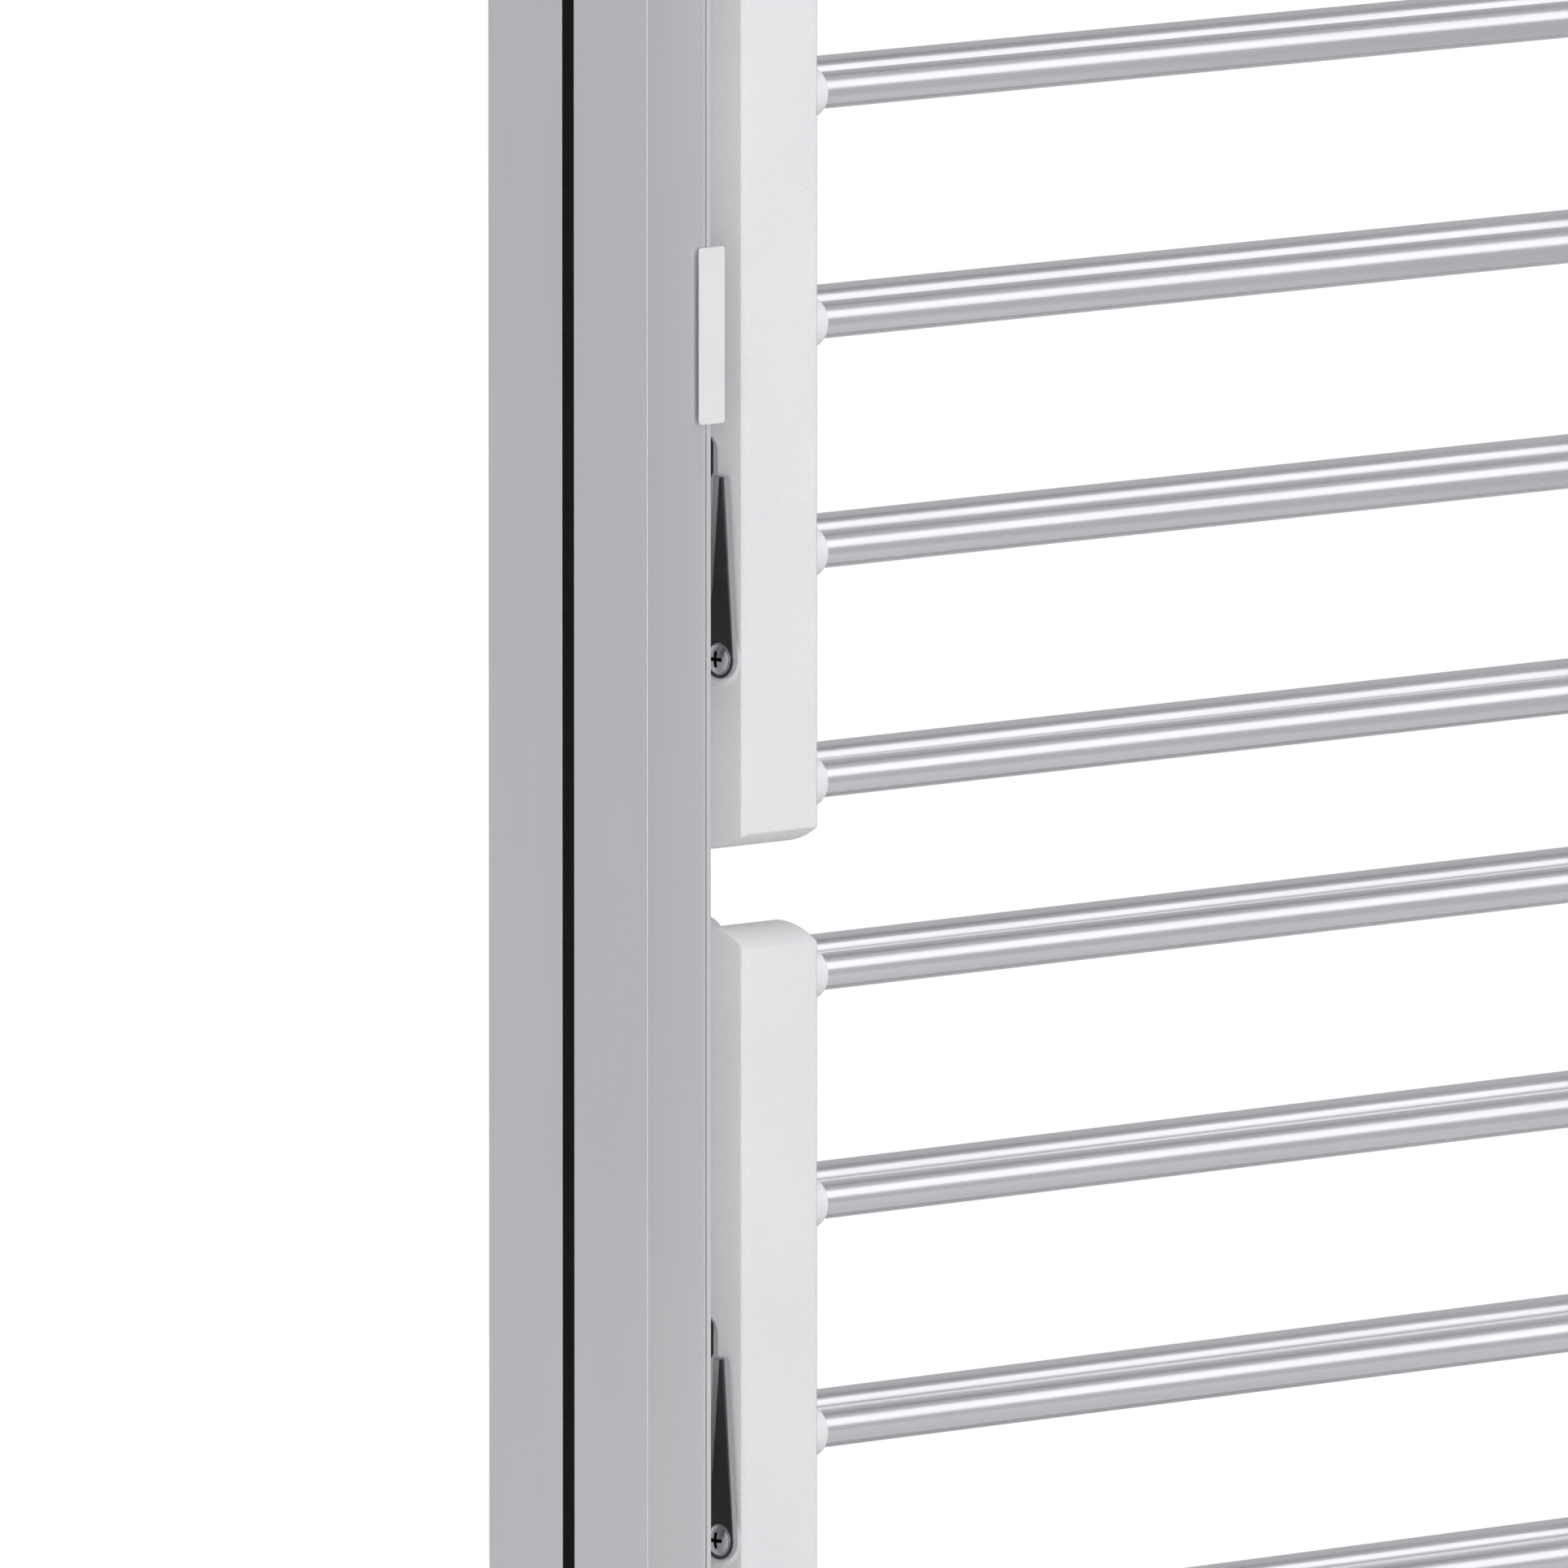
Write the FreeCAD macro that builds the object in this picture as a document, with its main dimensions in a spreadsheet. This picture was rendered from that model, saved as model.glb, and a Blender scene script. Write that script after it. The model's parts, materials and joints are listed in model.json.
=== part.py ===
"""Louvre security-bar window unit: frame, two banks of tilting twin-tube bars, lever handles.

Millimetres. +X runs along the bars, +Y points out of the building, +Z is up.
The origin is on the underside of the sill, at the middle of the frame's width and depth.
"""
import FreeCAD
import Part

import math
import os
import sys

import Sketcher

Vec = FreeCAD.Vector

# ---------------------------------------------------------------- driving dimensions
DIMENSIONS = [
    ("frame_width", 800.0, "overall width across both jambs"),
    ("frame_height", 890.0, "overall height, sill underside to head top"),
    ("frame_depth", 88.0, "depth of the frame extrusion"),
    ("profile_width", 36.3, "sight width of the frame extrusion"),
    ("frame_wall", 2.0, "wall of the frame extrusion"),
    ("lip_width", 2.6, "lip along the inner front edge of the extrusion"),
    ("lip_groove", 0.45, "shadow groove beside the lip"),
    ("groove_depth", 0.4, "depth of the shadow groove"),
    ("seal_setback", 40.5, "front face to seal channel"),
    ("seal_width", 6.75, "seal channel width"),
    ("seal_depth", 3.4, "seal channel depth"),
    ("seal_inset", 0.15, "seal surface below the frame surface"),
    ("plug_depth", 5.0, "depth of the plugs in the jamb ends"),
    ("port_front", 20.0, "front face to front fixing line"),
    ("port_rear", 68.0, "front face to rear fixing line"),
    ("flute_radius", 4.8, "screw flute outside radius"),
    ("screw_radius", 2.1, "self-tapping screw shank radius"),
    ("screw_head_radius", 4.4, "self-tapping screw head radius"),
    ("screw_head_height", 2.8, "self-tapping screw head height"),
    ("screw_length", 26.0, "corner screw shank length"),
    ("tap_length", 10.0, "gallery screw shank length"),
    ("screw_play", 0.05, "radial room round a screw shank"),
    ("access_radius", 5.5, "screwdriver access hole radius in the outer wall"),
    ("fixing_radius", 3.3, "wall fixing hole radius"),
    ("fixing_height", 48.0, "wall fixing hole to the nearer frame end"),
    ("sill_gap", 9.7, "sill to lower gallery"),
    ("bank_gap", 31.8, "lower gallery to upper gallery"),
    ("side_gap", 19.3, "jamb to gallery"),
    ("bar_pitch", 92.0, "bar to bar"),
    ("end_low", 24.4, "gallery end to its lowest bar axis"),
    ("end_high", 21.2, "highest bar axis to gallery end"),
    ("gallery_width", 41.5, "gallery width along the bars"),
    ("gallery_split", 49.3, "depth of the front shell"),
    ("gallery_wall", 2.5, "gallery shell wall"),
    ("gallery_chamfer", 2.0, "chamfer on the gallery's outer front edge"),
    ("dome_depth", 22.0, "depth of the curved gallery end"),
    ("dome_fall", 5.0, "fall of the front shell's ends from their crest to the rear"),
    ("dome_drop", 7.0, "fall of the curved end to the front face"),
    ("dome_radius", 36.8, "radius of the curved gallery end"),
    ("dome_inner_drop", 8.9, "inner curved end: fall from the gallery end at the front wall"),
    ("back_depth", 30.7, "depth of the back shell"),
    ("back_short", 1.3, "back shell shorter than the front shell at each end"),
    ("back_corner", 13.4, "corner radius of the back shell"),
    ("axis_depth", 10.4, "gallery front face to the bar axes"),
    ("tube_radius", 7.4, "bar tube outside radius"),
    ("tube_bore", 5.6, "bar tube bore radius"),
    ("tube_spacing", 50.0, "front tube axis to rear tube axis"),
    ("web_thickness", 2.2, "web between the two tubes"),
    ("hub_radius", 10.2, "hub disc radius"),
    ("hub_face", 7.2, "gallery face to the bar end"),
    ("hub_float", 0.05, "play between hub disc and gallery face"),
    ("hub_bevel", 0.5, "bevel on the hub disc rim"),
    ("journal_radius", 7.5, "hub journal radius"),
    ("journal_length", 9.5, "hub journal length behind the gallery face"),
    ("spigot_radius", 5.55, "hub spigot radius inside the bar tube"),
    ("spigot_length", 18.0, "hub spigot length"),
    ("running_gap", 0.06, "radial clearance of every journal and pin"),
    ("pin_radius", 2.0, "eccentric drive pin radius"),
    ("pin_throw", 5.2, "eccentric drive pin offset from its axis"),
    ("pin_angle", 37.5, "drive pin below the horizontal at rest, degrees"),
    ("pin_length", 4.7, "drive pin length"),
    ("link_width", 9.0, "link bar width"),
    ("link_thickness", 4.0, "link bar thickness"),
    ("link_inset", 27.0, "gallery outer face to link bar"),
    ("lever_rise", 52.6, "lowest bar axis to lever axis"),
    ("lever_length", 73.2, "lever axis to lever tip"),
    ("lever_radius", 8.0, "round end of the lever"),
    ("lever_tip", 5.8, "width of the lever tip"),
    ("lever_thickness", 2.25, "lever arm thickness"),
    ("boss_radius", 10.0, "radius of the pivot boss on the gallery at its top"),
    ("boss_flare", 2.2, "pivot boss wider at its foot"),
    ("boss_shift", 4.0, "pivot boss centre behind the lever axis"),
    ("boss_height", 1.0, "pivot boss height"),
    ("washer_radius", 6.5, "friction washer radius"),
    ("washer_thickness", 0.5, "friction washer thickness"),
    ("washer_gap", 0.05, "play between friction washer and boss"),
    ("shaft_radius", 5.0, "lever shaft radius"),
    ("collar_radius", 7.4, "lever shaft collar radius"),
    ("crank_radius", 7.6, "lever crank disc radius"),
    ("crank_thickness", 4.0, "lever crank disc thickness"),
    ("square_side", 6.6, "square drive on the lever shaft"),
    ("cover_inset", 0.45, "lever cover inside the arm's outline"),
    ("cover_edge", 0.35, "lever cover thickness at its edge"),
    ("cover_ridge", 1.25, "lever cover thickness at its ridge"),
    ("ridge_height", 28.6, "ridge point above the lever axis"),
    ("ridge_offset", 2.3, "ridge point behind the lever centre line"),
    ("facet_inset", 0.1, "faceted zone inside the cover's outline"),
    ("facet_step", 0.08, "step from the cover plate up to the facets"),
    ("tip_flat", 1.0, "ridge start inside the tip's front corner"),
    ("facet_start", 8.8, "bottom of the faceted zone above the lever axis"),
    ("head_radius", 5.8, "lever screw head radius"),
    ("head_height", 2.4, "lever screw head height"),
    ("head_rim", 0.7, "lever screw head rim height"),
    ("lever_screw_radius", 2.4, "lever screw shank radius"),
    ("lever_screw_length", 15.0, "lever screw shank length"),
    ("recess_reach", 3.2, "cross recess reach from the screw axis"),
    ("recess_width", 1.5, "cross recess slot width"),
    ("recess_depth", 1.7, "cross recess depth"),
    ("scoop_rise", 76.5, "lever axis to finger scoop centre"),
    ("scoop_radius", 7.5, "finger scoop end radius"),
    ("scoop_half", 5.5, "finger scoop half distance between end centres"),
    ("scoop_setback", 22.8, "gallery front face to finger scoop centre"),
    ("scoop_depth", 5.5, "finger scoop depth"),
    ("liner_radius", 3.5, "end radius of the pad on the scoop's floor"),
    ("liner_half", 5.0, "scoop pad half distance between end centres"),
    ("liner_shift", 3.4, "scoop pad centre behind the scoop centre"),
    ("liner_rise", 2.5, "scoop pad centre above the scoop centre"),
    ("liner_thickness", 0.8, "scoop pad thickness"),
    ("channel_front", 28.0, "frame front face to mounting channel"),
    ("channel_depth", 48.0, "mounting channel depth"),
    ("channel_short", 25.0, "mounting channel short of the gallery ends"),
    ("channel_wall", 2.0, "mounting channel wall"),
    ("shell_fix", 38.0, "front face to front shell screws"),
    ("back_fix", 62.0, "front face to back shell screws"),
    ("fix_end", 40.0, "gallery end to its screws"),
    ("clip_width", 14.1, "screen clip width"),
    ("clip_height", 70.5, "screen clip height"),
    ("clip_overhang", 5.8, "screen clip past the jamb's inner edge"),
    ("clip_standoff", 1.3, "screen clip plate clear of the frame face"),
    ("clip_plate", 0.9, "screen clip plate thickness"),
    ("clip_relief", 5.5, "screen clip foot inside the plate's outer edge"),
    ("clip_corner", 1.5, "screen clip corner radius"),
    ("clip_rise", 572.5, "sill underside to the bottom of the screen clips"),
    ("clip_hook", 1.6, "screen clip hook thickness"),
    ("clip_grip", 9.0, "screen clip hook depth behind the frame face"),
]
LOWER_BARS = 4
UPPER_BARS = 5

doc = FreeCAD.newDocument("security_bar_unit")
sheet = doc.addObject("Spreadsheet::Sheet", "dims")
values = {}
for row, (alias, number, note) in enumerate(DIMENSIONS, start=1):
    sheet.set("A%d" % row, alias)
    sheet.set("B%d" % row, str(number))
    sheet.set("C%d" % row, note)
    sheet.setAlias("B%d" % row, alias)
    values[alias] = number
doc.recompute()


# ---------------------------------------------------------------- sizes that remember their cells
class Size:
    """A number together with the spreadsheet expression that gives it."""

    def __init__(self, value, text):
        self.value = float(value)
        self.text = text

    def __add__(self, other):
        other = size(other)
        return Size(self.value + other.value, "(%s + %s)" % (self.text, other.text))

    def __radd__(self, other):
        return size(other) + self

    def __sub__(self, other):
        other = size(other)
        return Size(self.value - other.value, "(%s - %s)" % (self.text, other.text))

    def __rsub__(self, other):
        return size(other) - self

    def __mul__(self, other):
        other = size(other)
        return Size(self.value * other.value, "(%s * %s)" % (self.text, other.text))

    def __rmul__(self, other):
        return size(other) * self

    def __truediv__(self, other):
        other = size(other)
        return Size(self.value / other.value, "(%s / %s)" % (self.text, other.text))

    def __neg__(self):
        return Size(-self.value, "(0 - %s)" % self.text)


def size(amount):
    """Turn a plain number into a Size; leave a Size as it is."""
    if isinstance(amount, Size):
        return amount
    return Size(amount, "%.6g" % amount)


class Cells:
    """Reads a spreadsheet cell as a Size: d.bar_pitch."""

    def __getattr__(self, alias):
        return Size(values[alias], "dims." + alias)


d = Cells()


def bind(item, path, amount):
    """Drive one property of an object from the spreadsheet."""
    item.setExpression(path, size(amount).text)


def place(item, x, y, z):
    """Put an object's own origin at a point of the frame."""
    bind(item, "Placement.Base.x", x)
    bind(item, "Placement.Base.y", y)
    bind(item, "Placement.Base.z", z)


# ---------------------------------------------------------------- sub-part register
subparts = []


def register(item, label):
    """Label a finished sub-part; the label becomes its file name."""
    item.Label = label
    subparts.append(item)
    return item


# ---------------------------------------------------------------- sketch helpers
def new_body(label):
    return register(doc.addObject("PartDesign::Body", label + "_body"), label)


def new_sketch(body, role, name, lift=0):
    """A sketch on one of the body's own origin planes, lifted along its normal."""
    sketch = body.newObject("Sketcher::SketchObject", name)
    for feature in body.Origin.OriginFeatures:
        if feature.Role == role:
            sketch.AttachmentSupport = [(feature, "")]
    sketch.MapMode = "FlatFace"
    bind(sketch, "AttachmentOffset.Base.z", lift)
    return sketch


def pin_point(sketch, geometry, point, x, y):
    """Fix a sketch point at (x, y), both bound to the sheet."""
    for kind, axis, amount in (("DistanceX", -2, size(x)), ("DistanceY", -1, size(y))):
        if abs(amount.value) < 1e-9:
            sketch.addConstraint(Sketcher.Constraint("PointOnObject", geometry, point, axis))
        else:
            index = sketch.addConstraint(
                Sketcher.Constraint(kind, -1, 1, geometry, point, amount.value))
            sketch.setExpression("Constraints[%d]" % index, amount.text)


def circle(sketch, x, y, radius):
    """A circle with its centre and radius bound to the sheet."""
    centre = Vec(size(x).value, size(y).value, 0)
    index = sketch.addGeometry(Part.Circle(centre, Vec(0, 0, 1), size(radius).value), False)
    pin_point(sketch, index, 3, x, y)
    rule = sketch.addConstraint(Sketcher.Constraint("Radius", index, size(radius).value))
    sketch.setExpression("Constraints[%d]" % rule, size(radius).text)
    return index


def outline(sketch, corners):
    """A closed outline through (x, y) corners.

    A corner may carry a third entry (radius, bulge): the edge that leaves it is then an arc of
    that radius, bulging to the left (+1) or right (-1) of its chord.
    """
    count = len(corners)
    edges = []
    for index, corner in enumerate(corners):
        following = corners[(index + 1) % count]
        start = Vec(size(corner[0]).value, size(corner[1]).value, 0)
        end = Vec(size(following[0]).value, size(following[1]).value, 0)
        if len(corner) == 2:
            edges.append((sketch.addGeometry(Part.LineSegment(start, end), False), 1, 2))
            continue
        radius, bulge = corner[2]
        chord = end - start
        left = Vec(-chord.y, chord.x, 0).normalize()
        half = chord.Length / 2.0
        reach = math.sqrt(max(size(radius).value ** 2 - half ** 2, 0.0))
        middle = (start + end) * 0.5 - left * (reach * bulge)
        top = middle + left * (size(radius).value * bulge)
        arc = sketch.addGeometry(Part.Arc(start, top, end), False)
        first = sketch.getPoint(arc, 1)
        if (first - start).Length < (first - end).Length:
            edges.append((arc, 1, 2))
        else:
            edges.append((arc, 2, 1))
        rule = sketch.addConstraint(Sketcher.Constraint("Radius", arc, size(radius).value))
        sketch.setExpression("Constraints[%d]" % rule, size(radius).text)
    for index, (edge, first, last) in enumerate(edges):
        following, begin, _ = edges[(index + 1) % count]
        sketch.addConstraint(Sketcher.Constraint("Coincident", edge, last, following, begin))
        pin_point(sketch, edge, first, corners[index][0], corners[index][1])


def rectangle(sketch, x0, y0, x1, y1):
    outline(sketch, [(x0, y0), (x1, y0), (x1, y1), (x0, y1)])


def pad(body, sketch, length, name, backwards=False):
    feature = body.newObject("PartDesign::Pad", name)
    feature.Profile = sketch
    feature.Reversed = backwards
    bind(feature, "Length", length)
    return feature


def pocket(body, sketch, length, name, forwards=True):
    """Cut along the sketch normal (forwards) or against it; it must remove material."""
    doc.recompute()
    before = body.Shape.Volume
    feature = body.newObject("PartDesign::Pocket", name)
    feature.Profile = sketch
    feature.Reversed = forwards
    bind(feature, "Length", length)
    doc.recompute()
    if not body.Shape.Volume < before - 0.01:
        raise RuntimeError("%s: %s removed nothing" % (body.Label, name))
    return feature


def pattern_up(body, feature, step, count, name):
    """Repeat a feature upwards along the body's Z axis."""
    repeat = body.newObject("PartDesign::LinearPattern", name)
    repeat.Originals = [feature]
    for axis in body.Origin.OriginFeatures:
        if axis.Role == "Z_Axis":
            repeat.Direction = (axis, [""])
    bind(repeat, "Length", step * (count - 1))
    repeat.Occurrences = count
    body.Tip = repeat
    return repeat


# ---------------------------------------------------------------- where things stand
half_width = d.frame_width / 2
front = -(d.frame_depth / 2)
opening = d.frame_width - d.profile_width * 2
left_gallery = d.profile_width + d.side_gap - half_width
right_gallery = half_width - d.profile_width - d.side_gap - d.gallery_width
bar_left = left_gallery + d.gallery_width + d.hub_face
bar_length = (right_gallery - d.hub_face) - bar_left
axis_y = front + d.axis_depth


class Bank:
    """One bank of bars: its name, its foot and its number of bars."""

    def __init__(self, name, foot, bars):
        self.name = name
        self.foot = foot
        self.bars = bars
        self.height = d.end_low + d.bar_pitch * (bars - 1) + d.end_high
        self.first_axis = foot + d.end_low
        self.lever_axis = foot + d.end_low + d.lever_rise


lower = Bank("lower", d.profile_width + d.sill_gap, LOWER_BARS)
upper = Bank("upper", lower.foot + lower.height + d.bank_gap, UPPER_BARS)
BANKS = (lower, upper)


# ---------------------------------------------------------------- frame extrusion
def frame_section(sketch, at, sealed=True):
    """Outside of the extrusion; at(u, v) maps depth inwards u and depth from the front v."""
    groove_end = d.profile_width - d.lip_width
    groove_start = groove_end - d.lip_groove
    seal_end = d.seal_setback + d.seal_width
    corners = [
        at(0, 0),
        at(groove_start, 0),
        at(groove_start, d.groove_depth),
        at(groove_end, d.groove_depth),
        at(groove_end, 0),
        at(d.profile_width, 0),
        at(d.profile_width, d.frame_depth),
        at(0, d.frame_depth),
    ]
    if sealed:
        corners += [
            at(0, seal_end),
            at(d.seal_depth, seal_end),
            at(d.seal_depth, d.seal_setback),
            at(0, d.seal_setback),
        ]
    outline(sketch, corners)


def frame_chambers(sketch, at):
    """The three hollow chambers of the extrusion."""
    inner = d.profile_width - d.frame_wall
    seal_end = d.seal_setback + d.seal_width
    rooms = [
        (d.frame_wall, d.frame_wall, d.seal_setback - d.frame_wall),
        (d.seal_depth + d.frame_wall, d.seal_setback, seal_end),
        (d.frame_wall, seal_end + d.frame_wall, d.frame_depth - d.frame_wall),
    ]
    for outer, near, far in rooms:
        outline(sketch, [at(outer, near), at(inner, near), at(inner, far), at(outer, far)])


def make_jamb(label, right):
    """Upright extrusion; the outer face is at u = 0."""
    def at(u, v):
        return (d.profile_width - u, v) if right else (size(u), v)

    body = new_body(label)
    section = new_sketch(body, "XY_Plane", label + "_section")
    frame_section(section, at)
    pad(body, section, d.frame_height, label + "_length")
    rooms = new_sketch(body, "XY_Plane", label + "_rooms")
    frame_chambers(rooms, at)
    pocket(body, rooms, d.frame_height, label + "_hollow")

    ends = (d.profile_width / 2, d.frame_height - d.profile_width / 2)
    shanks = new_sketch(body, "YZ_Plane", label + "_shanks")
    access = new_sketch(body, "YZ_Plane", label + "_access", d.profile_width if right else 0)
    for line in (d.port_front, d.port_rear):
        for level in ends:
            circle(shanks, line, level, d.screw_radius + d.screw_play)
            circle(access, line, level, d.access_radius)
    pocket(body, shanks, d.profile_width, label + "_screw_holes")
    pocket(body, access, d.frame_wall + 1, label + "_access_holes", forwards=not right)

    fixings = new_sketch(body, "YZ_Plane", label + "_fixings")
    for line in (d.port_front, d.port_rear):
        circle(fixings, line, d.fixing_height, d.fixing_radius)
        circle(fixings, line, d.frame_height - d.fixing_height, d.fixing_radius)
    pocket(body, fixings, d.profile_width, label + "_fixing_holes")

    channel = new_sketch(body, "YZ_Plane", label + "_channel_screws",
                         0 if right else d.profile_width)
    for level in channel_levels():
        circle(channel, channel_line(), level, d.screw_radius + d.screw_play)
    pocket(body, channel, d.frame_wall + 1, label + "_channel_holes", forwards=right)
    place(body, half_width - d.profile_width if right else -half_width, front, 0)
    return body


def make_rail(label, top):
    """Head or sill between the jambs; the outer face is at u = 0."""
    def at(u, v):
        return (v, d.profile_width - u) if top else (v, size(u))

    body = new_body(label)
    section = new_sketch(body, "YZ_Plane", label + "_section")
    frame_section(section, at, sealed=top)
    pad(body, section, opening, label + "_length")
    rooms = new_sketch(body, "YZ_Plane", label + "_rooms")
    frame_chambers(rooms, at)
    pocket(body, rooms, opening, label + "_hollow")
    flutes = new_sketch(body, "YZ_Plane", label + "_flutes")
    webs = new_sketch(body, "YZ_Plane", label + "_webs")
    bores = new_sketch(body, "YZ_Plane", label + "_bores")
    middle = d.profile_width / 2
    for line in (d.port_front, d.port_rear):
        x, y = at(middle, line)
        circle(flutes, x, y, d.flute_radius)
        circle(bores, x, y, d.screw_radius + d.screw_play)
        outline(webs, [at(1, line - 1), at(middle, line - 1), at(middle, line + 1),
                       at(1, line + 1)])
    pad(body, webs, opening, label + "_web_pad")
    pad(body, flutes, opening, label + "_flute_pad")
    pocket(body, bores, opening, label + "_flute_bores")
    place(body, d.profile_width - half_width, front,
          d.frame_height - d.profile_width if top else 0)
    return body


def channel_levels():
    """Heights of the screws that hold a mounting channel to its jamb."""
    return (lower.foot + d.fix_end + 28, lower.foot + lower.height + d.bank_gap / 2,
            upper.foot + upper.height - d.fix_end - 28)


def channel_line():
    return d.channel_front + d.channel_depth / 2


# ---------------------------------------------------------------- plain solids along X
def block(name, x, y, z, length, depth, height):
    item = doc.addObject("Part::Box", name)
    bind(item, "Length", length)
    bind(item, "Width", depth)
    bind(item, "Height", height)
    place(item, x, y, z)
    return item


def rod(name, x, y, z, radius, length):
    """A cylinder along +X that starts at (x, y, z)."""
    item = doc.addObject("Part::Cylinder", name)
    bind(item, "Radius", radius)
    bind(item, "Height", length)
    item.Placement = FreeCAD.Placement(Vec(0, 0, 0), FreeCAD.Rotation(Vec(0, 1, 0), 90))
    place(item, x, y, z)
    return item


def fuse(name, items):
    item = doc.addObject("Part::MultiFuse", name)
    item.Shapes = items
    item.Refine = True
    return item


def cut(name, base, tool):
    item = doc.addObject("Part::Cut", name)
    item.Base = base
    item.Tool = tool
    item.Refine = True
    return item


def make_frame_seals():
    """Black strips in the outer channels of jambs and head, just below the frame surface."""
    thick = d.seal_depth - d.seal_inset
    near = front + d.seal_setback
    strips = [
        block("seal_left", d.seal_inset - half_width, near, 0,
              thick, d.seal_width, d.frame_height),
        block("seal_right", half_width - d.seal_depth, near, 0,
              thick, d.seal_width, d.frame_height),
        block("seal_head", d.profile_width - half_width, near, d.frame_height - d.seal_depth,
              opening, d.seal_width, thick),
    ]
    group = doc.addObject("Part::Compound", "frame_seals_group")
    group.Links = strips
    return register(group, "frame_seals")


def make_scoop_pads():
    """Black pads on the floors of the two finger scoops."""
    pads = []
    face = left_gallery + d.scoop_depth - d.liner_thickness
    line = front + d.scoop_setback + d.liner_shift
    for bank in BANKS:
        level = bank.lever_axis + d.scoop_rise + d.liner_rise
        middle = block("pad_middle_" + bank.name, face, line - d.liner_radius,
                       level - d.liner_half, d.liner_thickness, d.liner_radius * 2,
                       d.liner_half * 2)
        ends = [rod("pad_%s_%s" % (name, bank.name), face, line, end, d.liner_radius,
                    d.liner_thickness)
                for name, end in (("low", level - d.liner_half), ("high", level + d.liner_half))]
        pads.append(fuse("scoop_pad_" + bank.name, [middle] + ends))
    group = doc.addObject("Part::Compound", "scoop_pads_group")
    group.Links = pads
    return register(group, "scoop_pads")


def make_jamb_plugs():
    """Black plugs that close the hollow chambers at both ends of each jamb."""
    inner = d.profile_width - d.frame_wall
    seal_end = d.seal_setback + d.seal_width
    rooms = [
        (d.frame_wall, d.frame_wall, d.seal_setback - d.frame_wall),
        (d.seal_depth + d.frame_wall, d.seal_setback, seal_end),
        (d.frame_wall, seal_end + d.frame_wall, d.frame_depth - d.frame_wall),
    ]
    plugs = []
    for number, (outer, near, far) in enumerate(rooms):
        for right in (False, True):
            start = half_width - inner if right else outer - half_width
            for level in (size(0), d.frame_height - d.plug_depth):
                plugs.append(block("jamb_plug_%d" % number, start, front + near, level,
                                   inner - outer, far - near, d.plug_depth))
    group = doc.addObject("Part::Compound", "jamb_plugs_group")
    group.Links = plugs
    return register(group, "jamb_plugs")


# ---------------------------------------------------------------- galleries
def shell_corners(height, drop, inset, far, rear_drop):
    """Front shell outline in depth and height: two curved ends that fall to the rear."""
    radius = d.dome_radius - inset
    return [
        (size(inset), drop),
        (d.dome_depth, size(inset)),
        (size(far), rear_drop),
        (size(far), height - rear_drop),
        (d.dome_depth, height - inset, (radius, -1)),
        (size(inset), height - drop),
    ], radius


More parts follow.
